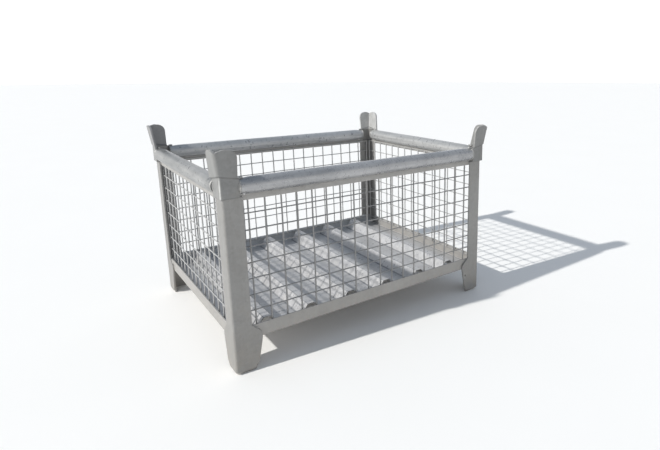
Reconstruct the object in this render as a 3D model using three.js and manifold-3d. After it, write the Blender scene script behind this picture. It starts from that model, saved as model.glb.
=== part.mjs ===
// Stackable wire mesh container, 1000 x 800 mm on plan, in millimetres.
// The origin is on the ground under the middle, +X along the long side, +Y to the rear, +Z up.
import * as THREE from "three";
import { mergeVertices } from "three/addons/utils/BufferGeometryUtils.js";
import Module from "manifold-3d";

const wasm = await Module();
wasm.setup();

// Overall size over the outer faces of the corner posts.
const LENGTH = 1000;
const WIDTH = 800;
// Clearance left between two pieces that are welded together.
const WELD_GAP = 0.3;

// Heights above the ground.
const RAIL_BOTTOM = 100;
const STRIP_BOTTOM = 528;
const NOTCH_BOTTOM = 541;
const TUBE_CENTRE = 570;
const POST_TOP = 596;
const EAR_BEND = 597;

// Corner post: folded sheet, one leg along each wall, flared into a foot.
const POST_SHEET = 5;
const POST_LEG = 57;
const POST_NOTCHED_LEG = 46;
const FOOT_BOTTOM = 8;
const FOOT_SOLE = 60;
const FOOT_HEEL = { leg: 71, height: 22 };
const FOOT_WIDEST = { leg: 87, height: RAIL_BOTTOM };
const FOOT_SHOULDER = { leg: 84, height: 122 };
const FOOT_FLARE_TOP = 146;
const DRAIN_HOLE = { leg: 70, height: 74, radius: 4.5 };

// Angle inside the foot, from the ground to just under the bottom rail.
const LINER_LEG = 58;
const LINER_SHEET = 5;
const LINER_TOP = RAIL_BOTTOM - 2.5;

// Stacking ear: an angle plate round the post top, with two wings bent outwards.
const COLLAR_LEG = 49;
const EAR_PLATE = 7;
const EAR_LEAN = 0.155;
const EAR_FOLD_TOP = 671;
const EAR_APEX = { leg: 20, height: 680 };
const EAR_CORNER_RADIUS = 19;
const EAR_WING = {
  front: { base: 47, top: 55 },
  side: { base: 66, top: 60 },
};
const EAR_CORNER_DROP = 5;

// Bottom rail: equal angle with its flat leg at the bottom, facing inwards.
const RAIL_LEG = 44;
const RAIL_SHEET = 4;

// Top rail: round tube with drawn-in ends, and a flat strip under it.
const TUBE_RADIUS = 25;
const TUBE_WALL = 2.6;
const TUBE_NECK = [[0, 20], [6, 22], [18, 23.6], [32, 24.6], [46, TUBE_RADIUS]];
const TUBE_SIDES = 16;
const STRIP_SHEET = 4;
const STRIP_PAST_LEG = 12;

// Welded mesh.
const PITCH = 50;
const UPRIGHT_WIRE = 5;
const LEVEL_WIRE = 4;
const MESH_DEPTH = 5;
const LOWEST_WIRE = 136;
const LEVEL_WIRES = 9;
const UPRIGHTS = { long: 20, short: 16 };

// Floor: one ribbed sheet, with low hollow ribs that run from front to rear.
// The row of ribs stands a little to the left of the middle.
const FLOOR_SHEET = 2;
const RIB_PITCH = 150;
const RIB_COUNT = 6;
const RIB_TOP = 22;
const RIB_SLOPE = 27;
const RIB_HEIGHT = 36;
const RIB_SHIFT = -8;
const FLOOR_HALF_LENGTH = 489;
const FLOOR_HALF_WIDTH = 364;

// Depths of the layers of a wall, measured inwards from the outer face of the posts.
const LAYER = {
  rail: POST_SHEET + WELD_GAP,
  mesh: POST_SHEET + RAIL_SHEET + 2 * WELD_GAP,
};
const TUBE_DEPTH = LAYER.rail + STRIP_SHEET / 2;
const TUBE_END = COLLAR_LEG + WELD_GAP;

function galvanised(name, colour, roughness) {
  return new THREE.MeshStandardMaterial({ name, color: colour, roughness, metalness: 0.85 });
}

// Bases that lay a drawn outline into a wall or across a wall.
const IN_LONG_WALL = new THREE.Matrix4().makeBasis(
  new THREE.Vector3(1, 0, 0),
  new THREE.Vector3(0, 0, 1),
  new THREE.Vector3(0, -1, 0),
);
const IN_SHORT_WALL = new THREE.Matrix4().makeBasis(
  new THREE.Vector3(0, 1, 0),
  new THREE.Vector3(0, 0, 1),
  new THREE.Vector3(1, 0, 0),
);

function extrude(shape, depth, basis) {
  const geometry = new THREE.ExtrudeGeometry(shape, { depth, bevelEnabled: false, curveSegments: 5 });
  return geometry.applyMatrix4(basis);
}

function outline(points) {
  return new THREE.Shape(points.map(([across, up]) => new THREE.Vector2(across, up)));
}

// A plate standing in the X-Z plane, from depth y to y + thickness.
function longWallPlate(shape, y, thickness) {
  return extrude(shape, thickness, IN_LONG_WALL).translate(0, y + thickness, 0);
}

// A plate standing in the Y-Z plane, from x to x + thickness.
function shortWallPlate(shape, x, thickness) {
  return extrude(shape, thickness, IN_SHORT_WALL).translate(x, 0, 0);
}

function toSolid(geometry) {
  const bare = geometry.clone();
  bare.deleteAttribute("normal");
  bare.deleteAttribute("uv");
  const welded = mergeVertices(bare, 1e-4);
  return new wasm.Manifold(new wasm.Mesh({
    numProp: 3,
    vertProperties: new Float32Array(welded.attributes.position.array),
    triVerts: new Uint32Array(welded.index.array),
  }));
}

function toGeometry(solid) {
  const mesh = solid.getMesh();
  const geometry = new THREE.BufferGeometry();
  geometry.setAttribute("position", new THREE.BufferAttribute(mesh.vertProperties, 3));
  geometry.setIndex(new THREE.BufferAttribute(mesh.triVerts, 1));
  return geometry;
}

function joined(geometries) {
  const solids = geometries.map(toSolid);
  return toGeometry(solids.reduce((whole, piece) => whole.add(piece)));
}

// The same piece for a corner of the other hand: X is mirrored and the faces are turned back out.
function mirrored(geometry) {
  const copy = geometry.clone().applyMatrix4(new THREE.Matrix4().makeScale(-1, 1, 1));
  const corners = copy.index.array;
  for (let i = 0; i < corners.length; i += 3) {
    [corners[i], corners[i + 1]] = [corners[i + 1], corners[i]];
  }
  return copy;
}

// ---- Corner pieces, drawn for the front left corner with its outer edge at x = 0, y = 0 ----

function postOutline() {
  return outline([
    [0, FOOT_BOTTOM],
    [FOOT_SOLE, FOOT_BOTTOM],
    [FOOT_HEEL.leg, FOOT_HEEL.height],
    [FOOT_WIDEST.leg, FOOT_WIDEST.height],
    [FOOT_SHOULDER.leg, FOOT_SHOULDER.height],
    [POST_LEG, FOOT_FLARE_TOP],
    [POST_LEG, NOTCH_BOTTOM],
    [POST_NOTCHED_LEG, NOTCH_BOTTOM],
    [POST_NOTCHED_LEG, POST_TOP],
    [0, POST_TOP],
  ]);
}

function postGeometry() {
  return joined([
    longWallPlate(postOutline(), 0, POST_SHEET),
    shortWallPlate(postOutline(), 0, POST_SHEET),
  ]);
}

function withDrainHole(geometry) {
  const drill = new THREE.CylinderGeometry(DRAIN_HOLE.radius, DRAIN_HOLE.radius, 4 * POST_SHEET, 12);
  drill.translate(DRAIN_HOLE.leg, 0, DRAIN_HOLE.height);
  return toGeometry(toSolid(geometry).subtract(toSolid(drill)));
}

function linerGeometry() {
  const near = POST_SHEET + WELD_GAP;
  const far = near + LINER_LEG;
  const inner = near + LINER_SHEET;
  const angle = outline([[near, near], [far, near], [far, inner], [inner, inner], [inner, far], [near, far]]);
  return new THREE.ExtrudeGeometry(angle, { depth: LINER_TOP, bevelEnabled: false });
}

const EAR_OUTER = -WELD_GAP - EAR_PLATE;

function collarOutline() {
  return outline([
    [EAR_OUTER, NOTCH_BOTTOM],
    [COLLAR_LEG, NOTCH_BOTTOM],
    [COLLAR_LEG, EAR_BEND],
    [EAR_OUTER, EAR_BEND],
  ]);
}

function wingOutline({ base, top }) {
  const shape = new THREE.Shape();
  const cornerHeight = EAR_APEX.height - EAR_CORNER_DROP;
  shape.moveTo(EAR_OUTER, EAR_BEND);
  shape.lineTo(base, EAR_BEND);
  shape.lineTo(top, cornerHeight - EAR_CORNER_RADIUS);
  shape.quadraticCurveTo(top, cornerHeight, top - EAR_CORNER_RADIUS, cornerHeight + 1);
  shape.lineTo(EAR_APEX.leg, EAR_APEX.height);
  shape.lineTo(EAR_OUTER, EAR_FOLD_TOP);
  return shape;
}

// Leans whatever stands above the bend outwards over both walls.
function leaned(geometry) {
  const lean = new THREE.Matrix4().set(
    1, 0, -EAR_LEAN, EAR_LEAN * EAR_BEND,
    0, 1, -EAR_LEAN, EAR_LEAN * EAR_BEND,
    0, 0, 1, 0,
    0, 0, 0, 1,
  );
  return geometry.applyMatrix4(lean);
}

function earGeometry() {
  return joined([
    longWallPlate(collarOutline(), EAR_OUTER, EAR_PLATE),
    shortWallPlate(collarOutline(), EAR_OUTER, EAR_PLATE),
    leaned(longWallPlate(wingOutline(EAR_WING.front), EAR_OUTER, EAR_PLATE)),
    leaned(shortWallPlate(wingOutline(EAR_WING.side), EAR_OUTER, EAR_PLATE)),
  ]);
}

// ---- Wall pieces, drawn for one wall of the given span with its outer face at depth 0 ----

function tubeProfile(span) {
  const end = span / 2 - TUBE_END;
  const outer = TUBE_NECK.map(([along, radius]) => [radius, along - end]);
  const inner = TUBE_NECK.map(([along, radius]) => [
    radius - TUBE_WALL,
    along - end,
  ]);
  const flip = ([radius, along]) => [radius, -along];
  const outerPath = [...outer, ...outer.map(flip).reverse()];
  const innerPath = [...inner, ...inner.map(flip).reverse()].reverse();
  const path = [...outerPath, ...innerPath, outerPath[0]];
  return path.map(([radius, along]) => new THREE.Vector2(radius, along));
}

function tubeGeometry(span) {
  return new THREE.LatheGeometry(tubeProfile(span), TUBE_SIDES);
}

function stripGeometry(span) {
  const top = TUBE_CENTRE - TUBE_RADIUS - WELD_GAP;
  const height = top - STRIP_BOTTOM;
  const run = span - 2 * (POST_LEG - STRIP_PAST_LEG);
  const strip = new THREE.BoxGeometry(run, STRIP_SHEET, height);
  return strip.translate(0, LAYER.rail + STRIP_SHEET / 2, STRIP_BOTTOM + height / 2);
}

function railGeometry(run) {
  const near = LAYER.rail;
  const top = RAIL_BOTTOM + RAIL_LEG;
  const angle = outline([
    [near, RAIL_BOTTOM],
    [near + RAIL_LEG, RAIL_BOTTOM],
    [near + RAIL_LEG, RAIL_BOTTOM + RAIL_SHEET],
    [near + RAIL_SHEET, RAIL_BOTTOM + RAIL_SHEET],
    [near + RAIL_SHEET, top],
    [near, top],
  ]);
  return extrude(angle, run, IN_SHORT_WALL).translate(-run / 2, 0, 0);
}

function wireBar(across, up, x, z) {
  const bar = new THREE.BoxGeometry(across, MESH_DEPTH, up);
  return bar.translate(x, LAYER.mesh + MESH_DEPTH / 2, z);
}

function meshGeometry(uprights) {
  const reach = PITCH * (LEVEL_WIRES - 1);
  const spread = PITCH * (uprights - 1);
  const bars = [];
  for (let i = 0; i < uprights; i += 1) {
    const x = i * PITCH - spread / 2;
    bars.push(wireBar(UPRIGHT_WIRE, reach + LEVEL_WIRE, x, LOWEST_WIRE + reach / 2));
  }
  for (let i = 0; i < LEVEL_WIRES; i += 1) {
    bars.push(wireBar(spread + UPRIGHT_WIRE, LEVEL_WIRE, 0, LOWEST_WIRE + i * PITCH));
  }
  return joined(bars);
}

// ---- Floor ----

function ribbedLine() {
  const low = RAIL_BOTTOM + RAIL_SHEET + WELD_GAP;
  const high = low + RIB_HEIGHT;
  const points = [[-FLOOR_HALF_LENGTH, low]];
  for (let rib = 0; rib < RIB_COUNT; rib += 1) {
    const centre = RIB_SHIFT + (rib - (RIB_COUNT - 1) / 2) * RIB_PITCH;
    const half = RIB_TOP / 2;
    points.push([centre - half - RIB_SLOPE, low], [centre - half, high]);
    points.push([centre + half, high], [centre + half + RIB_SLOPE, low]);
  }
  points.push([FLOOR_HALF_LENGTH, low]);
  return points.map(([x, z]) => new THREE.Vector2(x, z));
}

// The line moved sideways by a distance, with mitred corners.
function offsetLine(points, distance) {
  const normals = points.slice(1).map((point, i) => {
    const along = point.clone().sub(points[i]).normalize();
    return new THREE.Vector2(-along.y, along.x);
  });
  return points.map((point, i) => {
    const before = normals[Math.max(i - 1, 0)];
    const after = normals[Math.min(i, normals.length - 1)];
    const mitre = before.clone().add(after).normalize();
    return point.clone().addScaledVector(mitre, distance / mitre.dot(before));
  });
}

function floorGeometry() {
  const lower = ribbedLine();
  const upper = offsetLine(lower, FLOOR_SHEET).reverse();
  const shape = new THREE.Shape([...lower, ...upper]);
  return extrude(shape, 2 * FLOOR_HALF_WIDTH, IN_LONG_WALL).translate(0, FLOOR_HALF_WIDTH, 0);
}

// ---- Assembly ----

const container = new THREE.Group();
container.name = "wire_mesh_container";

const SHEET = galvanised("galvanised_sheet", 0x9a9a95, 0.5);
const FORMED = galvanised("galvanised_formed_plate", 0x8f918e, 0.55);
const TUBE = galvanised("galvanised_tube", 0xa3a9ae, 0.38);
const WIRE = galvanised("galvanised_wire", 0xa9aaa8, 0.45);
const FLOOR = galvanised("galvanised_floor", 0xa8adb3, 0.42);

function addPiece(parent, name, geometry, material) {
  const mesh = new THREE.Mesh(geometry, material.clone());
  mesh.name = name;
  parent.add(mesh);
  return mesh;
}

function addCorner(name, handed, half, hasDrain) {
  const corner = new THREE.Group();
  corner.rotation.z = half * Math.PI;
  const side = new THREE.Group();
  side.position.set(handed * (-LENGTH / 2), -WIDTH / 2, 0);
  corner.add(side);
  const shaped = (geometry) => (handed < 0 ? mirrored(geometry) : geometry);
  const post = hasDrain ? withDrainHole(postGeometry()) : postGeometry();
  addPiece(side, `${name}_post`, shaped(post), SHEET);
  addPiece(side, `${name}_foot_liner`, shaped(mergeVertices(linerGeometry())), SHEET);
  addPiece(side, `${name}_stacking_ear`, shaped(earGeometry()), FORMED);
  container.add(corner);
}

function addWall(name, turns, { span, depth, uprights, railRun }) {
  const wall = new THREE.Group();
  wall.rotation.z = (turns * Math.PI) / 2;
  const face = new THREE.Group();
  face.position.y = -depth / 2;
  wall.add(face);
  const tube = addPiece(face, `${name}_top_rail`, tubeGeometry(span), TUBE);
  tube.rotation.z = Math.PI / 2;
  tube.position.set(0, TUBE_DEPTH, TUBE_CENTRE);
  addPiece(face, `${name}_mesh_strip`, stripGeometry(span), SHEET);
  addPiece(face, `${name}_mesh_panel`, meshGeometry(uprights), WIRE);
  addPiece(face, `${name}_bottom_rail`, railGeometry(railRun), SHEET);
  container.add(wall);
}

const LONG_WALL = {
  span: LENGTH,
  depth: WIDTH,
  uprights: UPRIGHTS.long,
  railRun: LENGTH - 2 * LAYER.rail,
};
const SHORT_WALL = {
  span: WIDTH,
  depth: LENGTH,
  uprights: UPRIGHTS.short,
  railRun: WIDTH - 2 * (LAYER.rail + RAIL_LEG + WELD_GAP),
};

addCorner("front_left", 1, 0, false);
addCorner("front_right", -1, 0, true);
addCorner("rear_right", 1, 1, false);
addCorner("rear_left", -1, 1, false);

addWall("front", 0, LONG_WALL);
addWall("right", 1, SHORT_WALL);
addWall("rear", 2, LONG_WALL);
addWall("left", 3, SHORT_WALL);

addPiece(container, "floor_sheet", floorGeometry(), FLOOR);

export default container;
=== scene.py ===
import math
import random

import bmesh
import bpy
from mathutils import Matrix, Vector, noise


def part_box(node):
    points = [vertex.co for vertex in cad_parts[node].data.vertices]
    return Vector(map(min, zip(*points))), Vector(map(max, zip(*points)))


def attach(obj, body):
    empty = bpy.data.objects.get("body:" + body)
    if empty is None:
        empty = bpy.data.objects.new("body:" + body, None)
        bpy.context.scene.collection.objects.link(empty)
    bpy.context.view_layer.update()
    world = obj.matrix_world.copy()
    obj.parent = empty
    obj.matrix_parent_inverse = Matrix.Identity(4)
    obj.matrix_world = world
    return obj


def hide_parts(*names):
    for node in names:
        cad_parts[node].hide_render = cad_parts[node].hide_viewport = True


# Looks of a stackable galvanised wire mesh container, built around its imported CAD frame.
# Shapes are drawn in millimetres and turned into metres when their mesh is made.

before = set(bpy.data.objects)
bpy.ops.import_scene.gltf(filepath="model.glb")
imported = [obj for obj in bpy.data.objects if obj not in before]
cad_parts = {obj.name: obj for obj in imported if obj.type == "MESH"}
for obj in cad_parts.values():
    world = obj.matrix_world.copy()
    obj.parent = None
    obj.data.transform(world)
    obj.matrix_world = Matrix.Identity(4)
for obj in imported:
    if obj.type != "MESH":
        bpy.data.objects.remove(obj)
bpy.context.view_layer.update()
MM = 0.001

# Overall size over the outer faces of the corner posts.
HALF_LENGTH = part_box("front_right_post")[1].x / MM
HALF_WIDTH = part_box("rear_right_post")[1].y / MM
POST_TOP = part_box("front_left_post")[1].z / MM
RAIL_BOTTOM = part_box("front_bottom_rail")[0].z / MM
RAIL_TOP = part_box("front_bottom_rail")[1].z / MM
STRIP_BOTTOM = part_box("front_mesh_strip")[0].z / MM
STRIP_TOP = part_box("front_mesh_strip")[1].z / MM
LINER_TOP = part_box("front_left_foot_liner")[1].z / MM
FLOOR_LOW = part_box("floor_sheet")[0].z / MM
FLOOR_HALF_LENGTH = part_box("floor_sheet")[1].x / MM
FLOOR_HALF_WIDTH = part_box("floor_sheet")[1].y / MM

# Corner post and its foot.
POST_SHEET = 5.0
POST_LEG = 57.0
POST_NOTCHED_LEG = 46.0
POST_BEND = 7.0
NOTCH_BOTTOM = 541.0
DRAIN_HOLE = {"leg": 70.0, "height": 74.0, "radius": 4.5}
# Reach of a foot wing from the outer edge, from the sole up: (height, reach).
FOOT_OUTLINE = [
    (8.0, 56.5), (8.6, 58.6), (10.0, 60.2), (12.0, 62.0), (19.0, 68.4), (22.0, 70.6), (26.0, 72.2),
    (45.0, 76.0), (70.0, 81.0), (95.0, 86.0), (102.0, 86.9), (108.0, 86.6), (117.0, 84.9),
    (121.0, 83.2), (124.0, 80.6), (132.0, 71.8), (140.0, 63.0), (143.5, 59.4), (147.0, 57.4),
    (151.0, 57.0),
]

# Angle inside each foot.
LINER_NEAR = 5.3
LINER_LEG = 63.3
LINER_SHEET = 5.0
LINER_BEND = 6.0

# Stacking ear.
EAR_OUTER = -7.3
EAR_PLATE = 7.0
# The wings bend outwards along sloping lines, highest at the fold.
EAR_BEND_AT_FOLD = 605.0
EAR_BEND_SLOPE = 0.19
# How far the wings stand out just above the bend: (height over the bend line, offset).
EAR_STEP = [(-4.0, 0.0), (-1.5, 0.15), (0.0, 0.9), (1.2, 2.1), (3.0, 2.7)]
EAR_TOP_OFFSET = 12.5
EAR_FOLD_TOP = 671.0
EAR_APEX = (20.0, 679.6)
EAR_CORNER = 675.0
EAR_CORNER_RADIUS = 19.0
EAR_FOLD_RADIUS = 9.0
EAR_WING = {"front": (47.0, 55.0), "side": (66.0, 60.0)}
COLLAR_LEG = 49.0
# Half widths of the painted shade lines under the wings' bend and under the collar.
CREASE_HALF = 3.6
SEAM_HALF = 3.0
# Where a painted highlight runs along the fold, past the ear's outer faces.
FOLD_HIGHLIGHT_BAND = (3.2, 5.2)

# Wall layers, as depths from the outer face of the posts. A tube's neck is given from its end:
# (distance, radius). The visual tube is drawn in a little more than the plain one at its very end.
TUBE_DEPTH = 7.3
TUBE_CENTRE = 570.0
TUBE_RADIUS = 25.0
TUBE_WALL = 2.6
TUBE_TOP = TUBE_CENTRE + TUBE_RADIUS
TUBE_END = 49.6
TUBE_NECK = [(0.0, 18.6), (0.8, 20.0), (2.5, 21.0), (8.0, 22.2), (20.0, 23.6), (34.0, 24.6),
             (50.0, 25.0)]
TUBE_NECK_LENGTH = 50.0
TUBE_SIDES = 48
TUBE_STEPS = 14
STRIP_DEPTH = 5.3
STRIP_SHEET = 4.0
STRIP_END = 45.0
STRIP_STEPS = 40
RAIL_SHEET = 4.0
RAIL_LEG = 44.0
RAIL_BEND = 6.0
RAIL_STEPS = 30

# Welded mesh.
PITCH = 50.0
UPRIGHT_RADIUS = 2.5
LEVEL_RADIUS = 2.0
LOWEST_WIRE = 136.0
LEVEL_WIRES = 9
# Depths of the two layers of wires: the level wires lie outside on the short walls.
WIRE_DEPTH = {
    "long": {"upright": 12.1, "level": 16.0},
    "short": {"upright": 15.9, "level": 11.6},
}
# How far the wires of each layer are pressed towards the other where they are welded.
UPRIGHT_PRESS = 0.25
LEVEL_PRESS = 0.7
WIRE_SIDES = 10
UPRIGHTS = {"front": 20, "rear": 20, "left": 16, "right": 16}

# Weld beads: radii, and how lumpy they are.
BEAD_STEP = 1.6
BEAD_RIPPLE = 0.12
BEAD_LUMP = 0.22
COLLAR_BEAD = {"from": 4, "to": 12, "radius": 1.8}
SEAM_BEAD = {"from": 17, "to": 31, "radius": 1.5}
FOOT_BEAD = {"start": (60, 143), "end": (80, 128), "depth": 4.9, "radius": 1.9}
TUBE_RING = {"inset": 1.2, "radius": 2.9, "sides": 16}
# The bead beside the collar runs over part of an oval round the tube's middle, in degrees.
STEP_BEAD = {"inset": 1.2, "across": 13.5, "up": 14.5, "first": 112, "turn": 17, "points": 9,
             "radius": 4.6}
MOUTH_PLUG = {"inset": 0.8, "thick": 4.0, "play": 0.2, "sides": 32}
OVER_BEAD = 3.4
UNDER_BEAD = 3.2
STRIP_BEAD = 1.6
RUN_PITCH = 90
RUN_MARGIN = 80
RUN_HALF = 14
RUN_BEAD = 1.5
TACK_BEAD = 1.2
TACK_LENGTH = 6

# Floor sheet.
FLOOR_SHEET = 2.0
RIB_PITCH = 150.0
RIB_COUNT = 6
RIB_TOP = 22.0
RIB_SLOPE = 27.0
RIB_HEIGHT = 36.0
RIB_SHIFT = -8.0
# Painted shade along the folds of each rib, partly dirt in the hollows: (place from the rib's middle, half
# width, strength).
FOLD_LINES = [(-38.5, 2.8, 0.8), (-11.5, 1.6, 0.6), (38.5, 3.0, 0.7)]
RIB_BEND = 4.0
FLOOR_STEP = 12.0
FLOOR_ROWS = 61

# Camera, at the photograph's viewing angle.
CAMERA_AT = (-0.9059, -1.7702, 0.885)
CAMERA_TURN = (90 - 12.336, 0.0, -38.435)
CAMERA_LENS = 27.35
CAMERA_SHIFT = (-0.132, -0.0676)

# Light.
SUN_ELEVATION = 34.0
SUN_AZIMUTH_BACK = 5.0
SUN_STRENGTH = 3.6
SUN_SOFTNESS = 1.3
SUN_COLOUR = (1.0, 0.985, 0.95)
# Colours of the surrounding light by height, from level (0) to straight up (1).
SKY_STOPS = [
    (0.0, (1.0, 0.995, 0.985)), (0.18, (0.97, 0.97, 0.97)), (0.45, (0.40, 0.445, 0.51)),
    (1.0, (0.21, 0.26, 0.33)),
]
# The side behind the camera is dimmer: (direction towards the rear, strength).
SIDE_LIGHT = ((-0.85, 0.84), (0.05, 1.14))

# Colours of the zinc's stains and dirt, and of its painted highlights and painted shade.
STAIN = (0.30, 0.27, 0.23)
# Painted highlight on convex edges, partly real wear of the zinc.
EDGE_WEAR_AND_SHEEN = (0.62, 0.61, 0.59)
# Painted highlight along the ear's fold.
FOLD_HIGHLIGHT = (0.68, 0.68, 0.66)
# Painted shade along the floor's rib folds, partly dirt in the hollows.
FOLD_SHADE_AND_DIRT = (0.13, 0.14, 0.155)
# Painted shade: the shadow under the wings' overhang and under the collar's lower edge.
CREASE_SHADE = (0.11, 0.11, 0.11)
# Dirt fades in between these heights, in metres.
DIRT_HEIGHTS = (0.20, 0.02)

CORNERS = {
    "front_left": (-1, -1),
    "front_right": (1, -1),
    "rear_right": (1, 1),
    "rear_left": (-1, 1),
}
WALLS = ("front", "right", "rear", "left")
dice = random.Random(41)


# ---- Frames of reference ----

def at_corner(corner, along, across, up):
    """A point given by its distances inwards from the two outer faces of a corner."""
    sx, sy = CORNERS[corner]
    return Vector((sx * (HALF_LENGTH - along), sy * (HALF_WIDTH - across), up))


def at_wall(wall, along, depth, up):
    """A point given along a wall from its middle, and inwards from the wall's outer face."""
    if wall == "front":
        return Vector((along, -HALF_WIDTH + depth, up))
    if wall == "rear":
        return Vector((-along, HALF_WIDTH - depth, up))
    if wall == "right":
        return Vector((HALF_LENGTH - depth, along, up))
    return Vector((-HALF_LENGTH + depth, -along, up))


def half_span(wall):
    return HALF_LENGTH if wall in ("front", "rear") else HALF_WIDTH


# ---- Mesh building ----

class Build:
    """Collects vertices and faces, in millimetres, for one piece."""

    def __init__(self):
        self.points = []
        self.faces = []

    def add(self, points):
        start = len(self.points)
        self.points.extend(points)
        return list(range(start, len(self.points)))

    def quads(self, rows, wrap=False):
        """Faces between neighbouring rows of vertex numbers."""
        for low, high in zip(rows, rows[1:]):
            count = len(low)
            for i in range(count if wrap else count - 1):
                j = (i + 1) % count
                self.faces.append((low[i], low[j], high[j], high[i]))

    def thick_grid(self, outer, inner):
        """A sheet with two skins, given as two grids of points of the same size."""
        skin_a = [self.add(row) for row in outer]
        skin_b = [self.add(row) for row in inner]
        self.quads(skin_a)
        self.quads([list(reversed(row)) for row in skin_b])
        self.quads([skin_b[0], skin_a[0]])
        self.quads([skin_a[-1], skin_b[-1]])
        self.quads([[row[0] for row in skin_a], [row[0] for row in skin_b]])
        self.quads([[row[-1] for row in skin_b], [row[-1] for row in skin_a]])

    def rod(self, rings):
        """A closed rod through rings of points, with both ends capped."""
        rows = [self.add(ring) for ring in rings]
        self.quads(rows, wrap=True)
        self.faces.append(tuple(reversed(rows[0])))
        self.faces.append(tuple(rows[-1]))

    def pipe(self, outer, inner):
        """A hollow pipe through rings of points, joined at both ends."""
        rows_out = [self.add(ring) for ring in outer]
        rows_in = [self.add(ring) for ring in inner]
        self.quads(rows_out, wrap=True)
        self.quads(rows_in, wrap=True)
        self.quads([rows_out[0], rows_in[0]], wrap=True)
        self.quads([rows_out[-1], rows_in[-1]], wrap=True)


def finish_mesh(name, build, material, replaced=(), bevel=0.0, sharp=38.0):
    """Makes the piece: closed, faces turned out, edges eased, shaded smooth, riding on the frame."""
    mesh = bpy.data.meshes.new(name)
    mesh.from_pydata([tuple(p * MM) for p in build.points], [], build.faces)
    work = bmesh.new()
    work.from_mesh(mesh)
    bmesh.ops.recalc_face_normals(work, faces=work.faces)
    if bevel:
        limit = math.radians(sharp)
        edges = [e for e in work.edges if len(e.link_faces) == 2 and e.calc_face_angle() > limit]
        bmesh.ops.bevel(
            work, geom=edges, offset=bevel * MM, segments=2, profile=0.6, affect="EDGES",
            clamp_overlap=True,
        )
    work.to_mesh(mesh)
    work.free()
    for face in mesh.polygons:
        face.use_smooth = True
    mesh.set_sharp_from_angle(angle=math.radians(sharp))
    piece = bpy.data.objects.new(name, mesh)
    bpy.context.scene.collection.objects.link(piece)
    mesh.materials.append(material)
    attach(piece, "root")
    if replaced:
        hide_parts(*replaced)
    return piece


def drift(seed, x, amount):
    """A smooth small offset in millimetres that depends on a place x in millimetres."""
    return amount * noise.noise(Vector((x * 0.011, seed * 3.17, 0.5)))


# ---- Folded corner sheets ----

def folded_section(reach_a, reach_b, near, bend, flat_steps, arc_steps):
    """Points of an L, from the free edge along wall a, round the fold, to that along wall b."""
    start = near + bend
    points = []
    for i in range(flat_steps):
        share = i / flat_steps
        points.append((reach_a + (start - reach_a) * share, near))
    for i in range(arc_steps + 1):
        turn = math.pi / 2 * i / arc_steps
        points.append((start - bend * math.sin(turn), start - bend * math.cos(turn)))
    for i in range(1, flat_steps + 1):
        share = i / flat_steps
        points.append((near, start + (reach_b - start) * share))
    return points


def folded_pair(reach_a, reach_b, near, sheet, bend, flat_steps=7, arc_steps=6):
    outer = folded_section(reach_a, reach_b, near, bend, flat_steps, arc_steps)
    inner = folded_section(reach_a, reach_b, near + sheet, max(bend - sheet, 0.8), flat_steps, arc_steps)
    return outer, inner


def post_reach(height):
    """Reach of the post's legs from the outer edge at a height."""
    if height >= NOTCH_BOTTOM + 0.2:
        step = min(max(height - (POST_TOP - 3.0), 0.0), 3.0)
        return POST_NOTCHED_LEG - (3.0 - math.sqrt(max(9.0 - step * step, 0.0)))
    if height >= FOOT_OUTLINE[-1][0]:
        return POST_LEG
    for (z0, r0), (z1, r1) in zip(FOOT_OUTLINE, FOOT_OUTLINE[1:]):
        if z0 <= height <= z1:
            return r0 + (r1 - r0) * (height - z0) / (z1 - z0)
    return FOOT_OUTLINE[0][1]


def post_heights():
    low = [z for z, _ in FOOT_OUTLINE]
    middle = [190, 240, 290, 340, 390, 440, 490, 525, 539, NOTCH_BOTTOM]
    high = [NOTCH_BOTTOM + 0.2, 548, 560, 575, 588, POST_TOP - 3, POST_TOP - 2, POST_TOP - 1, POST_TOP]
    return low + middle + high


def build_post(corner, material):
    build = Build()
    outer_rows = []
    inner_rows = []
    seed = len(corner) + 7 * CORNERS[corner][0]
    for z in post_heights():
        reach = post_reach(z)
        outer, inner = folded_pair(reach, reach, 0.0, POST_SHEET, POST_BEND)
        push = abs(drift(seed, z, 0.7))
        outer_rows.append([at_corner(corner, a + push, b + push, z) for a, b in outer])
        inner_rows.append([at_corner(corner, a + push, b + push, z) for a, b in inner])
    build.thick_grid(outer_rows, inner_rows)
    piece = finish_mesh(f"{corner}_post_sheet", build, material,
                        [f"{corner}_post"], bevel=0.7)
    if corner == "front_right":
        cut_drain_hole(piece, corner)
    return piece


def cut_drain_hole(piece, corner):
    drill = bpy.data.meshes.new("drill")
    work = bmesh.new()
    radius = DRAIN_HOLE["radius"] * MM
    bmesh.ops.create_cone(
        work, cap_ends=True, segments=32, radius1=radius, radius2=radius, depth=40 * MM,
    )
    work.to_mesh(drill)
    work.free()
    tool = bpy.data.objects.new("drill", drill)
    bpy.context.scene.collection.objects.link(tool)
    tool.location = at_corner(corner, DRAIN_HOLE["leg"], 0, DRAIN_HOLE["height"]) * MM
    tool.rotation_euler = (math.pi / 2, 0, 0)
    cut = piece.modifiers.new("drain_hole", "BOOLEAN")
    cut.operation = "DIFFERENCE"
    cut.solver = "EXACT"
    cut.object = tool
    apply_modifiers(piece)
    bpy.data.objects.remove(tool)
    piece.data.set_sharp_from_angle(angle=math.radians(38))


def apply_modifiers(piece):
    depsgraph = bpy.context.evaluated_depsgraph_get()
    depsgraph.update()
    done = bpy.data.meshes.new_from_object(piece.evaluated_get(depsgraph))
    piece.modifiers.clear()
    piece.data = done


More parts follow.
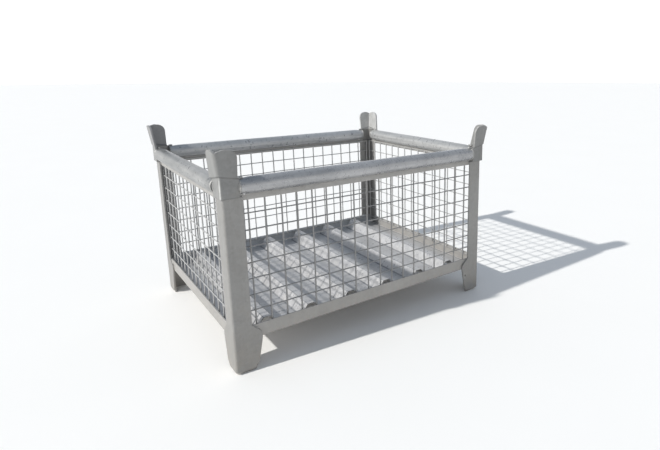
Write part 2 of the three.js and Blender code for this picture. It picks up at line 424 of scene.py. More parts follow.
def build_liner(corner, material):
    build = Build()
    outer_rows = []
    inner_rows = []
    heights = [0.0, 0.6, 2.0, 20.0, 50.0, 80.0, LINER_TOP]
    eased = [3.0, 1.2, 0.0, 0.0, 0.0, 0.0, 0.0]
    for z, ease in zip(heights, eased):
        reach = LINER_LEG - ease
        outer, inner = folded_pair(reach, reach, LINER_NEAR, LINER_SHEET, LINER_BEND, 4, 4)
        outer_rows.append([at_corner(corner, a, b, z) for a, b in outer])
        inner_rows.append([at_corner(corner, a, b, z) for a, b in inner])
    build.thick_grid(outer_rows, inner_rows)
    return finish_mesh(f"{corner}_foot_angle", build, material,
                       [f"{corner}_foot_liner"], bevel=0.7)


# ---- Stacking ears ----

def along_line(points, place):
    """The value of a polyline of (place, value) points, held level past its ends."""
    if place <= points[0][0]:
        return points[0][1]
    for (x0, y0), (x1, y1) in zip(points, points[1:]):
        if place <= x1:
            return y0 + (y1 - y0) * (place - x0) / (x1 - x0)
    return points[-1][1]


def wing_top(leg, reach):
    """Height of a wing's top edge at a distance from the post's outer edge."""
    apex, apex_height = EAR_APEX
    if leg <= apex:
        return EAR_FOLD_TOP + (apex_height - EAR_FOLD_TOP) * (leg - EAR_OUTER) / (apex - EAR_OUTER)
    level = apex_height + (EAR_CORNER - apex_height) * (leg - apex) / (reach - apex)
    into = min(max((leg - reach + EAR_CORNER_RADIUS) / EAR_CORNER_RADIUS, 0.0), 1.0)
    return level - EAR_CORNER_RADIUS * (1 - math.sqrt(1 - into * into))


def ear_columns():
    """Columns of an ear: which wing, share of the flat from the fold to the free edge, fold turn."""
    shares = [0.0, 0.12, 0.25, 0.38, 0.5, 0.62, 0.72, 0.8, 0.87, 0.92, 0.96, 0.985, 1.0]
    columns = [("front", share, None) for share in reversed(shares)]
    columns += [("fold", 0.0, math.pi / 2 * i / 8) for i in range(1, 8)]
    columns += [("side", share, None) for share in shares]
    return columns


def bend_height(leg):
    """Height of the bend line at a distance from the post's outer edge."""
    return EAR_BEND_AT_FOLD - EAR_BEND_SLOPE * (leg - EAR_OUTER)


def ear_offset(z, bend):
    """How far the ear has moved outwards at a height."""
    over = z - bend
    last, step = EAR_STEP[-1]
    if over <= last:
        return along_line(EAR_STEP, over)
    return step + (EAR_TOP_OFFSET - step) * (over - last) / (EAR_APEX[1] - bend - last)


def ear_point(column, skin, level):
    """A point of the ear; level runs 0-1 on the collar and 1-2 on the wings."""
    wing, share, turn = column
    start = EAR_OUTER + EAR_FOLD_RADIUS
    if wing == "fold":
        leg = start - EAR_FOLD_RADIUS * min(math.sin(turn), math.cos(turn))
        top = wing_top(leg, EAR_WING["front"][1])
    else:
        base, reach_top = EAR_WING[wing]
        leg = start + share * (COLLAR_LEG - start if level < 1 else base - start)
        top = wing_top(start + share * (reach_top - start), reach_top)
    bend = bend_height(leg)
    if level < 1:
        z = NOTCH_BOTTOM + (bend - NOTCH_BOTTOM) * level
    else:
        z = bend + (top - bend) * (level - 1)
    if wing == "fold":
        radius = EAR_FOLD_RADIUS - skin
        along = start - radius * math.sin(turn)
        across = start - radius * math.cos(turn)
    else:
        if level >= 1:
            rise = min((z - bend) / (EAR_CORNER - EAR_CORNER_RADIUS - bend), 1.0)
            leg = start + share * (base + (reach_top - base) * rise - start)
        near = EAR_OUTER + skin
        along, across = (leg, near) if wing == "front" else (near, leg)
    move = ear_offset(z, bend)
    return along - move, across - move, z


EAR_LEVELS = [0, 0.02, 0.06, 0.2, 0.4, 0.6, 0.78, 0.86, 0.92, 0.95, 0.975, 0.985, 0.995, 1.0, 1.006,
              1.014, 1.022, 1.034, 1.05, 1.08, 1.14, 1.25, 1.4, 1.55, 1.7, 1.82, 1.9, 1.96, 2.0]


def build_ear(corner, material):
    build = Build()
    columns = ear_columns()
    outer = [[at_corner(corner, *ear_point(c, 0.0, level)) for c in columns] for level in EAR_LEVELS]
    inner = [[at_corner(corner, *ear_point(c, EAR_PLATE, level)) for c in columns] for level in EAR_LEVELS]
    build.thick_grid(outer, inner)
    return finish_mesh(f"{corner}_ear_plate", build, material,
                       [f"{corner}_stacking_ear"], bevel=1.1)


# ---- Walls ----

def ring(wall, along, depth, up, radius, sides):
    """A circle of points round a line that runs along a wall."""
    points = []
    for i in range(sides):
        turn = 2 * math.pi * i / sides
        points.append(at_wall(wall, along, depth + radius * math.cos(turn), up + radius * math.sin(turn)))
    return points


def build_tube(wall, material):
    build = Build()
    end = half_span(wall) - TUBE_END
    stations = [(-end + a, r) for a, r in TUBE_NECK]
    straight = end - TUBE_NECK_LENGTH
    middle = [(-straight + 2 * straight * i / TUBE_STEPS, TUBE_RADIUS) for i in range(1, TUBE_STEPS)]
    stations += middle + [(-s, r) for s, r in reversed(stations)]
    seed = 11 + WALLS.index(wall)
    outer = []
    inner = []
    for along, radius in stations:
        sag = drift(seed, along, 0.5) if radius == TUBE_RADIUS else 0.0
        depth = TUBE_DEPTH + abs(sag)
        height = TUBE_CENTRE + sag
        outer.append(ring(wall, along, depth, height, radius, TUBE_SIDES))
        inner.append(ring(wall, along, depth, height, radius - TUBE_WALL, TUBE_SIDES))
    build.pipe(outer, inner)
    return finish_mesh(f"{wall}_tube", build, material, [f"{wall}_top_rail"], sharp=50)


def build_strip(wall, material):
    build = Build()
    end = half_span(wall) - STRIP_END
    seed = 23 + WALLS.index(wall)
    outer = []
    inner = []
    for z in (STRIP_BOTTOM, (STRIP_BOTTOM + STRIP_TOP) / 2, STRIP_TOP):
        row_out = []
        row_in = []
        for i in range(STRIP_STEPS + 1):
            along = -end + 2 * end * i / STRIP_STEPS
            dip = drift(seed, along, 0.8) if z == STRIP_BOTTOM else 0.0
            bow = abs(drift(seed + 1, along, 0.4))
            row_out.append(at_wall(wall, along, STRIP_DEPTH + bow, z + abs(dip)))
            row_in.append(at_wall(wall, along, STRIP_DEPTH + STRIP_SHEET + bow, z + abs(dip)))
        outer.append(row_out)
        inner.append(row_in)
    build.thick_grid(outer, inner)
    return finish_mesh(f"{wall}_strip", build, material,
                       [f"{wall}_mesh_strip"], bevel=0.9)


def rail_section():
    """Outer and inner points of the bottom rail, from its top edge down and inwards."""
    near = STRIP_DEPTH
    low = RAIL_BOTTOM
    outer = [(near, RAIL_TOP), (near, low + 30), (near, low + 16)]
    inner = [(near + RAIL_SHEET, RAIL_TOP), (near + RAIL_SHEET, low + 30), (near + RAIL_SHEET, low + 16)]
    centre = (near + RAIL_BEND, low + RAIL_BEND)
    for i in range(7):
        turn = math.pi / 2 * i / 6
        outer.append((centre[0] - RAIL_BEND * math.cos(turn), centre[1] - RAIL_BEND * math.sin(turn)))
        small = RAIL_BEND - RAIL_SHEET
        inner.append((centre[0] - small * math.cos(turn), centre[1] - small * math.sin(turn)))
    for reach in (22.0, 33.0, RAIL_LEG):
        outer.append((near + reach, low))
        inner.append((near + reach, low + RAIL_SHEET))
    return outer, inner


def build_rail(wall, material):
    build = Build()
    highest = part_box(f"{wall}_bottom_rail")[1]
    end = (highest.x if wall in ("front", "rear") else highest.y) / MM
    outer, inner = rail_section()
    seed = 31 + WALLS.index(wall)
    rows_out = []
    rows_in = []
    for i in range(RAIL_STEPS + 1):
        along = -end + 2 * end * i / RAIL_STEPS
        bow = abs(drift(seed, along, 0.5))
        rows_out.append([at_wall(wall, along, d + bow, z) for d, z in outer])
        rows_in.append([at_wall(wall, along, d + bow, z) for d, z in inner])
    build.thick_grid(rows_out, rows_in)
    return finish_mesh(f"{wall}_angle_rail", build, material,
                       [f"{wall}_bottom_rail"], bevel=0.6)


# ---- Welded mesh ----

def wire_stations(low, high, crossings):
    """Places along a wire: its ends, and three places at and between its crossings."""
    places = {low, high}
    for c in crossings:
        for step in (-12.5, -3.0, 0.0, 3.0, 12.5):
            if low < c + step < high:
                places.add(c + step)
    for c in crossings[:-1]:
        places.add(c + PITCH / 2)
    return sorted(places)


def wire_ring(place, centre_depth, aside, radius, vertical, wall, sides):
    points = []
    for i in range(sides):
        turn = 2 * math.pi * (i + 0.5) / sides
        d = centre_depth + radius * math.cos(turn)
        s = aside + radius * math.sin(turn)
        points.append(at_wall(wall, s, d, place) if vertical else at_wall(wall, place, d, s))
    return points


def pressed(place, crossings, amount):
    """How far a wire is pressed into the other layer near a weld."""
    nearest = min(abs(place - c) for c in crossings)
    return amount * math.exp(-(nearest / 5.0) ** 2)


def add_wire(build, wall, vertical, aside, low, high, crossings, depth, radius, push, seed):
    rings = []
    for place in wire_stations(low, high, crossings):
        wander = drift(seed, place, 0.9)
        sunk = pressed(place, crossings, push)
        at_end = min(place - low, high - place)
        size = radius * (0.8 if at_end < 0.01 else 1.0)
        rings.append(wire_ring(place, depth + sunk, aside + wander, size, vertical, wall, WIRE_SIDES))
    build.rod(rings)


def build_mesh(wall, material):
    build = Build()
    count = UPRIGHTS[wall]
    spread = PITCH * (count - 1)
    reach = PITCH * (LEVEL_WIRES - 1)
    across = [i * PITCH - spread / 2 for i in range(count)]
    levels = [LOWEST_WIRE + i * PITCH for i in range(LEVEL_WIRES)]
    base = 100 * WALLS.index(wall)
    layers = WIRE_DEPTH["long" if half_span(wall) == HALF_LENGTH else "short"]
    inwards = math.copysign(1.0, layers["level"] - layers["upright"])
    for i, x in enumerate(across):
        lean = dice.uniform(-0.5, 0.5)
        add_wire(build, wall, True, x + lean, LOWEST_WIRE - 2, LOWEST_WIRE + reach + 2, levels,
                 layers["upright"], UPRIGHT_RADIUS, UPRIGHT_PRESS * inwards, base + i)
    for i, z in enumerate(levels):
        lift = dice.uniform(-0.6, 0.6)
        add_wire(build, wall, False, z + lift, -spread / 2 - 2.5, spread / 2 + 2.5, across,
                 layers["level"], LEVEL_RADIUS, -LEVEL_PRESS * inwards, base + 50 + i)
    return finish_mesh(f"{wall}_wire_mesh", build, material,
                       [f"{wall}_mesh_panel"], sharp=60)


# ---- Floor ----

def rounded_line(points, radius, steps=4):
    """A polyline with its corners rounded."""
    out = [points[0]]
    for before, here, after in zip(points, points[1:], points[2:]):
        b = Vector(before)
        h = Vector(here)
        a = Vector(after)
        to_b = (b - h).normalized()
        to_a = (a - h).normalized()
        cut = min(radius * 0.6, (b - h).length * 0.45, (a - h).length * 0.45)
        p0 = h + to_b * cut
        p1 = h + to_a * cut
        for i in range(steps + 1):
            t = i / steps
            out.append(tuple((1 - t) ** 2 * p0 + 2 * t * (1 - t) * h + t * t * p1))
    out.append(points[-1])
    return out


def ribbed_line():
    low = FLOOR_LOW
    high = low + RIB_HEIGHT
    points = [(-FLOOR_HALF_LENGTH, low)]
    for rib in range(RIB_COUNT):
        centre = RIB_SHIFT + (rib - (RIB_COUNT - 1) / 2) * RIB_PITCH
        half = RIB_TOP / 2
        points += [(centre - half - RIB_SLOPE, low), (centre - half, high)]
        points += [(centre + half, high), (centre + half + RIB_SLOPE, low)]
    points.append((FLOOR_HALF_LENGTH, low))
    return rounded_line(points, RIB_BEND)


def offset_points(points, distance):
    """The line moved sideways, to give the sheet's upper skin."""
    out = []
    for i, point in enumerate(points):
        before = Vector(points[max(i - 1, 0)])
        after = Vector(points[min(i + 1, len(points) - 1)])
        along = (after - before).normalized()
        out.append((point[0] - along.y * distance, point[1] + along.x * distance))
    return out


def split_long(points, step):
    """Extra points on the long flats, so that they can be slightly uneven."""
    out = [points[0]]
    for a, b in zip(points, points[1:]):
        gap = math.dist(a, b)
        parts = max(1, round(gap / step))
        for i in range(1, parts + 1):
            t = i / parts
            out.append((a[0] + (b[0] - a[0]) * t, a[1] + (b[1] - a[1]) * t))
    return out


def build_floor(material):
    build = Build()
    lower = split_long(ribbed_line(), FLOOR_STEP)
    upper = offset_points(lower, FLOOR_SHEET)
    rows_low = []
    rows_up = []
    for i in range(FLOOR_ROWS):
        y = -FLOOR_HALF_WIDTH + 2 * FLOOR_HALF_WIDTH * i / (FLOOR_ROWS - 1)
        lift = [max(0.0, 0.9 * noise.noise(Vector((x * 0.012, y * 0.008, 3.3)))) for x, _ in lower]
        rows_low.append([Vector((x, y, z + up)) for (x, z), up in zip(lower, lift)])
        rows_up.append([Vector((x, y, z + up)) for (x, z), up in zip(upper, lift)])
    build.thick_grid(rows_low, rows_up)
    return finish_mesh("ribbed_floor", build, material, ["floor_sheet"], sharp=50)


# ---- Welds ----

def add_bead(build, path, radius, seed, sides=8):
    """A lumpy weld bead along a short path, with round ends."""
    total = sum((b - a).length for a, b in zip(path, path[1:]))
    steps = max(3, int(total / BEAD_STEP))
    rings = []
    for i in range(steps + 1):
        t = i / steps
        centre, along = point_on(path, t * total)
        ripple = BEAD_RIPPLE * math.sin(t * total * 2.0 + seed)
        lump = BEAD_LUMP * noise.noise(Vector((t * total * 0.12, seed * 1.7, 0.0)))
        end = math.sqrt(max(1 - (abs(2 * t - 1)) ** 8, 0.05))
        size = radius * (1 + ripple + lump) * end
        side = along.cross(Vector((0.31, 0.57, 0.76))).normalized()
        other = along.cross(side).normalized()
        turns = [2 * math.pi * k / sides for k in range(sides)]
        rings.append([centre + size * (math.cos(turn) * side + math.sin(turn) * other) for turn in turns])
    build.rod(rings)


def point_on(path, distance):
    """The point at a distance along a path, and the path's direction there."""
    for a, b in zip(path, path[1:]):
        length = (b - a).length
        if distance <= length or b is path[-1]:
            along = (b - a).normalized()
            return a + along * min(distance, length), along
        distance -= length
    return path[-1], (path[-1] - path[-2]).normalized()


def build_corner_welds(corner, material):
    build = Build()
    seed = len(corner) * 1.3 + CORNERS[corner][0]
    for flip in (False, True):
        order = (lambda a, b: (b, a)) if flip else (lambda a, b: (a, b))
        # Collar to post: down both free edges.
        low = at_corner(corner, *order(COLLAR_LEG + 0.6, -0.6), NOTCH_BOTTOM + COLLAR_BEAD["from"])
        high = at_corner(corner, *order(COLLAR_LEG + 0.6, -0.6), NOTCH_BOTTOM + COLLAR_BEAD["to"])
        add_bead(build, [low, high], COLLAR_BEAD["radius"], seed)
        # Collar's lower edge.
        a = at_corner(corner, *order(SEAM_BEAD["from"], -0.9), NOTCH_BOTTOM - 0.2)
        b = at_corner(corner, *order(SEAM_BEAD["to"], -0.9), NOTCH_BOTTOM - 0.2)
        add_bead(build, [a, b], SEAM_BEAD["radius"], seed + 2)
        # Foot wing over the bottom rail's end.
        ends = (FOOT_BEAD["start"], FOOT_BEAD["end"])
        path = [at_corner(corner, *order(leg, FOOT_BEAD["depth"]), height) for leg, height in ends]
        add_bead(build, path, FOOT_BEAD["radius"], seed + 4)
    return finish_mesh(f"{corner}_welds", build, material, sharp=80)


def tube_end_welds(build, wall, side, seed):
    """Beads round one end of a tube, where it meets the collar and the post."""
    end = half_span(wall)
    # Round the drawn-in end, against the post.
    ring_place = side * (end - TUBE_END - TUBE_RING["inset"])
    circle = []
    for i in range(TUBE_RING["sides"] + 1):
        turn = 2 * math.pi * i / TUBE_RING["sides"]
        radius = TUBE_NECK[1][1]
        depth = TUBE_DEPTH + radius * math.cos(turn)
        circle.append(at_wall(wall, ring_place, depth, TUBE_CENTRE + radius * math.sin(turn)))
    add_bead(build, circle, TUBE_RING["radius"], seed + side)
    # Weld that fills the step between the collar and the outer side of the tube's end.
    step_place = side * (end - COLLAR_LEG - STEP_BEAD["inset"])
    filling = []
    for i in range(STEP_BEAD["points"]):
        turn = math.radians(STEP_BEAD["first"] + STEP_BEAD["turn"] * i)
        depth = TUBE_DEPTH + STEP_BEAD["across"] * math.cos(turn)
        filling.append(at_wall(wall, step_place, depth, TUBE_CENTRE + STEP_BEAD["up"] * math.sin(turn)))
    add_bead(build, filling, STEP_BEAD["radius"], seed + 3 + side)
    # Weld metal that closes the tube's mouth.
    mouth = end - TUBE_END - MOUTH_PLUG["inset"]
    plug = TUBE_NECK[0][1] - TUBE_WALL - MOUTH_PLUG["play"]
    faces = (mouth, mouth - MOUTH_PLUG["thick"])
    build.rod([ring(wall, side * x, TUBE_DEPTH, TUBE_CENTRE, plug, MOUTH_PLUG["sides"]) for x in faces])
    # Heavy weld over the tube end, and one that closes the corner under it.
    post_edge = end - COLLAR_LEG
    over = [(post_edge + 1, 2.0, TUBE_TOP - 2), (post_edge - 7, 3.5, TUBE_TOP),
            (post_edge - 15, 5.0, TUBE_TOP - 0.5)]
    under = [(post_edge + 1, 7.0, STRIP_TOP + 3.5), (post_edge - 14, 7.0, STRIP_TOP + 1)]
    for path, size in ((over, OVER_BEAD), (under, UNDER_BEAD)):
        add_bead(build, [at_wall(wall, side * x, d, z) for x, d, z in path], size, seed + 7 + side)


def build_wall_welds(wall, material):
    build = Build()
    seed = 3.1 * WALLS.index(wall)
    end = half_span(wall)
    for side in (-1, 1):
        tube_end_welds(build, wall, side, seed)
        # Strip end against the post.
        a = at_wall(wall, side * (end - POST_LEG - 1.0), STRIP_DEPTH - 0.2, STRIP_BOTTOM + 2)
        b = at_wall(wall, side * (end - POST_LEG - 1.0), STRIP_DEPTH - 0.2, STRIP_TOP - 4)
        add_bead(build, [a, b], STRIP_BEAD, seed + 5 + side)
    # Tube to strip, in short runs.
    span = 2 * end - 2 * RUN_MARGIN
    runs = int(span / RUN_PITCH)
    for i in range(runs + 1):
        middle = -end + RUN_MARGIN + span * i / runs
        a = at_wall(wall, middle - RUN_HALF, STRIP_DEPTH - 0.3, STRIP_TOP + 0.3)
        b = at_wall(wall, middle + RUN_HALF, STRIP_DEPTH - 0.3, STRIP_TOP + 0.3)
        add_bead(build, [a, b], RUN_BEAD, seed + i)
    # Wires to strip and rail.
    count = UPRIGHTS[wall]
    spread = PITCH * (count - 1)
    depth = STRIP_DEPTH + STRIP_SHEET + 0.9
    for i in range(count):
        beside = i * PITCH - spread / 2 - 2.6
        for z, reach in ((STRIP_BOTTOM + 5, TACK_LENGTH), (RAIL_TOP - 4, -TACK_LENGTH)):
            a = at_wall(wall, beside, depth, z)
            b = at_wall(wall, beside, depth, z + reach)
            add_bead(build, [a, b], TACK_BEAD, seed + i, sides=6)
    return finish_mesh(f"{wall}_wall_welds", build, material, sharp=80)


# ---- Materials ----

class Nodes:
    """Small helper for building a material's node tree."""

    def __init__(self, name, material=None):
        self.material = material or bpy.data.materials.new(name)
        self.material.use_nodes = True
        self.tree = self.material.node_tree
        self.shader = self.tree.nodes["Principled BSDF"]
        self.place = self.new("ShaderNodeTexCoord").outputs["Object"]

    def new(self, kind):
        return self.tree.nodes.new(kind)

    def link(self, source, target):
        self.tree.links.new(source, target)

    def scaled(self, x, y, z):
        node = self.new("ShaderNodeMapping")
        node.inputs["Scale"].default_value = (x, y, z)
        self.link(self.place, node.inputs["Vector"])
        return node.outputs["Vector"]

    def noise(self, scale, detail=3.0, rough=0.55, where=None):
        node = self.new("ShaderNodeTexNoise")
        node.inputs["Scale"].default_value = scale
        node.inputs["Detail"].default_value = detail
        node.inputs["Roughness"].default_value = rough
        self.link(where or self.place, node.inputs["Vector"])
        return node.outputs["Fac"]

    def cells(self, scale, where=None):
        node = self.new("ShaderNodeTexVoronoi")
        node.inputs["Scale"].default_value = scale
        self.link(where or self.place, node.inputs["Vector"])
        split = self.new("ShaderNodeSeparateColor")
        self.link(node.outputs["Color"], split.inputs["Color"])
        return split.outputs["Red"]

    def band(self, value, low, high, out_low=0.0, out_high=1.0):
        node = self.new("ShaderNodeMapRange")
        node.inputs["From Min"].default_value = low
        node.inputs["From Max"].default_value = high
        node.inputs["To Min"].default_value = out_low
        node.inputs["To Max"].default_value = out_high
        self.link(value, node.inputs["Value"])
        return node.outputs["Result"]

    def math(self, operation, a, b):
        node = self.new("ShaderNodeMath")
        node.operation = operation
        for value, target in ((a, node.inputs[0]), (b, node.inputs[1])):
            if isinstance(value, (int, float)):
                target.default_value = value
            else:
                self.link(value, target)
        return node.outputs["Value"]

    def blend(self, share, a, b):
        node = self.new("ShaderNodeMix")
        node.data_type = "RGBA"
        self.link(share, node.inputs["Factor"])
        colour_a = [s for s in node.inputs if s.name == "A" and s.type == "RGBA"][0]
        colour_b = [s for s in node.inputs if s.name == "B" and s.type == "RGBA"][0]
        for value, target in ((a, colour_a), (b, colour_b)):
            if isinstance(value, tuple):
                target.default_value = (*value, 1.0)
            else:
                self.link(value, target)
        return [s for s in node.outputs if s.type == "RGBA"][0]

    def height(self):
        split = self.new("ShaderNodeSeparateXYZ")
        self.link(self.place, split.inputs["Vector"])
        return split.outputs["Z"]


def galvanised(name, dark, light, metallic, rough, spangle=0.5, streaks=0.5,
               stain_share=0.35, relief=0.35, wear_and_sheen=0.5, run_scale=(70.0, 70.0, 5.0)):
    """Hot-dip zinc: clouds, spangle, runs, a few stains, and fine grain in the bump."""
    n = Nodes(name)
    cloud = n.noise(7.0, 4.0, 0.6)
    mottle = n.noise(55.0, 3.0, 0.6)
    cell = n.cells(120.0)
    runs = n.noise(1.0, 3.0, 0.6, n.scaled(*run_scale))
    fine = n.noise(700.0, 2.0, 0.6)
    tone = n.math("ADD", n.math("MULTIPLY", cloud, 0.55), n.math("MULTIPLY", mottle, 0.45))
    tone = n.math("ADD", tone, n.math("MULTIPLY", n.math("SUBTRACT", cell, 0.5), 0.28 * spangle))
    tone = n.math("ADD", tone, n.math("MULTIPLY", n.math("SUBTRACT", runs, 0.5), 0.5 * streaks))
    share = n.band(tone, 0.25, 0.75)
    colour = n.blend(share, dark, light)
    spots = n.band(n.noise(16.0, 5.0, 0.7), 0.58, 0.78, 0.0, stain_share)
    colour = n.blend(spots, colour, STAIN)
    low = n.band(n.height(), *DIRT_HEIGHTS, 0.0, 1.0)
    dirt = n.math("MULTIPLY", low, n.band(n.noise(28.0, 4.0, 0.65), 0.35, 0.7, 0.0, 0.5))
    colour = n.blend(dirt, colour, STAIN)
    # Convex edges are lightened: partly wear, partly a painted highlight where edges catch the light.
    edges = n.band(n.new("ShaderNodeNewGeometry").outputs["Pointiness"], 0.53, 0.60, 0.0, wear_and_sheen)
    colour = n.blend(edges, colour, EDGE_WEAR_AND_SHEEN)
    n.link(colour, n.shader.inputs["Base Color"])
    n.shader.inputs["Metallic"].default_value = metallic
    rough_value = n.math("ADD", n.band(mottle, 0.3, 0.7, rough - 0.07, rough + 0.07),
                         n.math("MULTIPLY", n.math("SUBTRACT", cell, 0.5), 0.16 * spangle))
    n.link(rough_value, n.shader.inputs["Roughness"])
    bump = n.new("ShaderNodeBump")
    bump.inputs["Strength"].default_value = relief
    bump.inputs["Distance"].default_value = 0.0008
    rises = n.math("ADD", n.math("MULTIPLY", fine, 0.3), n.math("MULTIPLY", mottle, 0.8))
    rises = n.math("ADD", rises, n.math("MULTIPLY", runs, 0.5 * streaks))
    n.link(rises, bump.inputs["Height"])
    n.link(bump.outputs["Normal"], n.shader.inputs["Normal"])
    return n.material


def add_fold_lines(material):
    """Painted shade along the folds of the floor's ribs, partly dirt in the hollows."""
    n = Nodes(material.name, material)
    base = n.shader.inputs["Base Color"]
    colour = base.links[0].from_socket
    split = n.new("ShaderNodeSeparateXYZ")
    n.link(n.place, split.inputs["Vector"])
    pitch = RIB_PITCH * MM
    across = n.math("FLOORED_MODULO", n.math("SUBTRACT", split.outputs["X"], RIB_SHIFT * MM), pitch)
    patchy = n.band(n.noise(9.0, 3.0, 0.6), 0.3, 0.6, 0.5, 1.0)
    # Each fold line is painted shade, partly dirt in the hollows.
    for place, half, strength in FOLD_LINES:
        away = n.math("ABSOLUTE", n.math("SUBTRACT", across, pitch / 2 + place * MM), 0.0)
        line = n.band(away, half * MM, 0.45 * half * MM, 0.0, strength)
        colour = n.blend(n.math("MULTIPLY", line, patchy), colour, FOLD_SHADE_AND_DIRT)
    n.link(colour, base)


def corner_reach(n):
    """Distance inwards from the farther of a corner's two outer faces, in metres."""
    split = n.new("ShaderNodeSeparateXYZ")
    n.link(n.place, split.inputs["Vector"])
    from_end = n.math("SUBTRACT", HALF_LENGTH * MM, n.math("ABSOLUTE", split.outputs["X"], 0.0))
    from_side = n.math("SUBTRACT", HALF_WIDTH * MM, n.math("ABSOLUTE", split.outputs["Y"], 0.0))
    return n.math("MAXIMUM", from_end, from_side)


def add_corner_lines(material):
    """Painted shadow under the wings' bend, painted shade under the collar's lower edge, and a painted
    highlight along the fold.
    """
    n = Nodes(material.name, material)
    base = n.shader.inputs["Base Color"]
    colour = base.links[0].from_socket
    reach = corner_reach(n)
    past_fold = n.math("SUBTRACT", reach, EAR_OUTER * MM)
    crease = n.math("SUBTRACT", EAR_BEND_AT_FOLD * MM, n.math("MULTIPLY", past_fold, EAR_BEND_SLOPE))
    patchy = n.band(n.noise(30.0, 3.0, 0.6), 0.3, 0.6, 0.6, 1.0)
    seam = (NOTCH_BOTTOM - 1.0) * MM
    # Painted shadow along the crease under the wings, and painted shade along the seam under the collar.
    for level, half, strength in ((crease, CREASE_HALF, 0.75), (seam, SEAM_HALF, 0.6)):
        away = n.math("ABSOLUTE", n.math("SUBTRACT", n.height(), level), 0.0)
        line = n.band(away, half * MM, 0.3 * half * MM, 0.0, strength)
        colour = n.blend(n.math("MULTIPLY", line, patchy), colour, CREASE_SHADE)
    # A painted highlight along the fold, below the crease.
    under = n.math("LESS_THAN", n.height(), crease)
    fold = n.band(past_fold, FOLD_HIGHLIGHT_BAND[1] * MM, FOLD_HIGHLIGHT_BAND[0] * MM, 0.0, 0.8)
    fold = n.math("MULTIPLY", fold, n.band(n.noise(22.0, 3.0, 0.6), 0.4, 0.6, 0.25, 1.0))
    colour = n.blend(n.math("MULTIPLY", fold, under), colour, FOLD_HIGHLIGHT)
    n.link(colour, base)


def studio_floor():
    n = Nodes("studio_floor_paint")
    share = n.noise(2.0, 3.0, 0.5)
    n.link(n.blend(share, (0.93, 0.915, 0.89), (0.95, 0.935, 0.91)), n.shader.inputs["Base Color"])
    n.shader.inputs["Roughness"].default_value = 0.9
    mesh = bpy.data.meshes.new("studio_floor")
    work = bmesh.new()
    bmesh.ops.create_circle(work, cap_ends=True, segments=96, radius=40.0)
    work.to_mesh(mesh)
    work.free()
    floor = bpy.data.objects.new("studio_floor", mesh)
    floor.location.z = -0.0005
    bpy.context.scene.collection.objects.link(floor)
    mesh.materials.append(n.material)


def studio_light():
    scene = bpy.context.scene
    world = bpy.data.worlds.new("studio")
    world.use_nodes = True
    scene.world = world
    tree = world.node_tree
    background = tree.nodes["Background"]
    where = tree.nodes.new("ShaderNodeTexCoord")
    split = tree.nodes.new("ShaderNodeSeparateXYZ")
    ramp = tree.nodes.new("ShaderNodeValToRGB")
    tree.links.new(where.outputs["Generated"], split.inputs["Vector"])
    tree.links.new(split.outputs["Z"], ramp.inputs["Fac"])
    tree.links.new(ramp.outputs["Color"], background.inputs["Color"])
    elements = ramp.color_ramp.elements
    for element, (position, colour) in zip(elements, (SKY_STOPS[0], SKY_STOPS[-1])):
        element.position = position
        element.color = (*colour, 1)
    for position, colour in SKY_STOPS[1:-1]:
        elements.new(position).color = (*colour, 1)
    # The dimmer side behind the camera shades the front faces and the tubes.
    (front, dim), (rear, bright) = SIDE_LIGHT
    side = tree.nodes.new("ShaderNodeMapRange")
    side.inputs["From Min"].default_value = front
    side.inputs["From Max"].default_value = rear
    side.inputs["To Min"].default_value = dim
    side.inputs["To Max"].default_value = bright
    tree.links.new(split.outputs["Y"], side.inputs["Value"])
    tree.links.new(side.outputs["Result"], background.inputs["Strength"])
    light = bpy.data.lights.new("key", "SUN")
    light.energy = SUN_STRENGTH
    light.angle = math.radians(SUN_SOFTNESS)
    light.color = SUN_COLOUR
    key = bpy.data.objects.new("key", light)
    scene.collection.objects.link(key)
    up = math.radians(SUN_ELEVATION)
    back = math.radians(SUN_AZIMUTH_BACK)
    towards = Vector((-math.cos(up) * math.cos(back), math.cos(up) * math.sin(back), math.sin(up)))
    key.rotation_euler = towards.to_track_quat("Z", "Y").to_euler()


def add_camera():
    data = bpy.data.cameras.new("camera")
    data.lens = CAMERA_LENS
    data.sensor_width = 36.0
    data.sensor_fit = "HORIZONTAL"
    data.shift_x, data.shift_y = CAMERA_SHIFT
    data.clip_end = 200.0
    camera = bpy.data.objects.new("camera", data)
    camera.location = CAMERA_AT
    camera.rotation_euler = [math.radians(turn) for turn in CAMERA_TURN]
    bpy.context.scene.collection.objects.link(camera)
    bpy.context.scene.camera = camera
    bpy.context.scene.view_settings.view_transform = "Standard"


# ---- Assembly ----

add_camera()
studio_floor()
studio_light()

POST_ZINC = galvanised("galvanised_post", (0.245, 0.24, 0.23), (0.34, 0.335, 0.325), 0.35, 0.5)
# The front ears' zinc is darker and the rear-right ear's paler than the rest: partly real variation,
# partly painted shade and painted light matched to how each ear is lit.
EAR_ZINC = galvanised("galvanised_ear", (0.195, 0.195, 0.19), (0.29, 0.29, 0.285), 0.15, 0.5, wear_and_sheen=0.8)
EAR_REAR = galvanised("galvanised_ear_rear", (0.22, 0.22, 0.22), (0.33, 0.33, 0.33), 0.2, 0.5)
EAR_PAINTED_LIGHT = galvanised("galvanised_ear_painted_light", (0.38, 0.38, 0.37), (0.55, 0.55, 0.54), 0.2, 0.45)
for material in (POST_ZINC, EAR_ZINC, EAR_REAR, EAR_PAINTED_LIGHT):
    add_corner_lines(material)
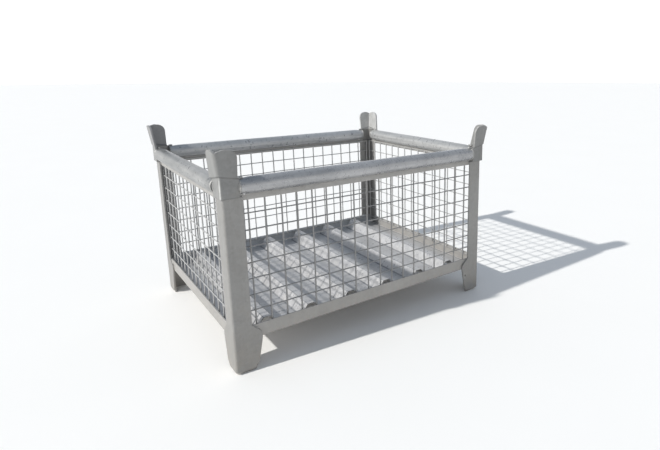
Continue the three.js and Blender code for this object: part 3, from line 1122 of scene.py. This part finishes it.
# Each tube's zinc tone is set on its own: partly real variation, partly painted light and shade matched to
# how the light falls on it.
TUBE_FRONT = galvanised("galvanised_tube_front", (0.30, 0.305, 0.315), (0.50, 0.50, 0.505), 0.55, 0.3,
                        spangle=0.0, streaks=1.5, stain_share=0.0, relief=0.0, run_scale=(4.0, 60.0, 60.0))
TUBE_REAR = galvanised("galvanised_tube_rear", (0.35, 0.36, 0.37), (0.56, 0.565, 0.57), 0.5, 0.32,
                       spangle=0.0, streaks=1.5, stain_share=0.0, relief=0.0, run_scale=(4.0, 60.0, 60.0))
TUBE_RIGHT = galvanised("galvanised_tube_right", (0.32, 0.32, 0.32), (0.50, 0.50, 0.49), 0.4, 0.32,
                        spangle=0.0, streaks=1.5, stain_share=0.0, relief=0.0, run_scale=(60.0, 4.0, 60.0))
TUBE_LEFT = galvanised("galvanised_tube_left", (0.20, 0.205, 0.205), (0.38, 0.38, 0.375), 0.45, 0.36,
                       spangle=0.8, streaks=1.5, stain_share=0.0, relief=0.0, run_scale=(60.0, 4.0, 60.0))
# The rear rail's zinc is paler than the other rails': painted light that lifts its shaded inner face.
REAR_RAIL_PAINTED_LIGHT = galvanised("galvanised_section_painted_light", (0.50, 0.52, 0.545), (0.64, 0.665, 0.69), 0.3, 0.5)
SECTION_ZINC = galvanised("galvanised_section", (0.31, 0.30, 0.285), (0.41, 0.40, 0.385), 0.3, 0.5)
# The front wall's wires are darker, painted shade for their shaded side; the other walls' wires are paler,
# painted light for their sunlit side.
WIRE_ZINC = galvanised("galvanised_wire", (0.17, 0.17, 0.17), (0.26, 0.26, 0.26), 0.4, 0.45)
WIRE_PAINTED_LIGHT = galvanised("galvanised_wire_painted_light", (0.34, 0.34, 0.34), (0.46, 0.46, 0.455), 0.35, 0.45)
FLOOR_ZINC = galvanised("galvanised_floor", (0.44, 0.44, 0.45), (0.60, 0.595, 0.595), 0.35, 0.36,
                        spangle=0.8, streaks=0.9, relief=0.2, run_scale=(5.0, 90.0, 20.0))
add_fold_lines(FLOOR_ZINC)
WELD_ZINC = galvanised("galvanised_weld", (0.24, 0.24, 0.235), (0.36, 0.36, 0.35), 0.4, 0.5)

# Each ear's tone is partly painted light and shade.
EARS = {"front_left": EAR_ZINC, "front_right": EAR_ZINC, "rear_right": EAR_PAINTED_LIGHT, "rear_left": EAR_REAR}
for corner in CORNERS:
    build_post(corner, POST_ZINC)
    build_liner(corner, POST_ZINC)
    build_ear(corner, EARS[corner])
    build_corner_welds(corner, WELD_ZINC)
TUBES = {"front": TUBE_FRONT, "rear": TUBE_REAR, "left": TUBE_LEFT, "right": TUBE_RIGHT}
for wall in WALLS:
    build_tube(wall, TUBES[wall])
    build_strip(wall, SECTION_ZINC)
    # The rear rail takes the paler zinc, painted light on its shaded inner face.
    build_rail(wall, REAR_RAIL_PAINTED_LIGHT if wall == "rear" else SECTION_ZINC)
    # Front wires take the darker zinc as painted shade, the others the paler zinc as painted light.
    build_mesh(wall, WIRE_ZINC if wall == "front" else WIRE_PAINTED_LIGHT)
    build_wall_welds(wall, WELD_ZINC)
build_floor(FLOOR_ZINC)
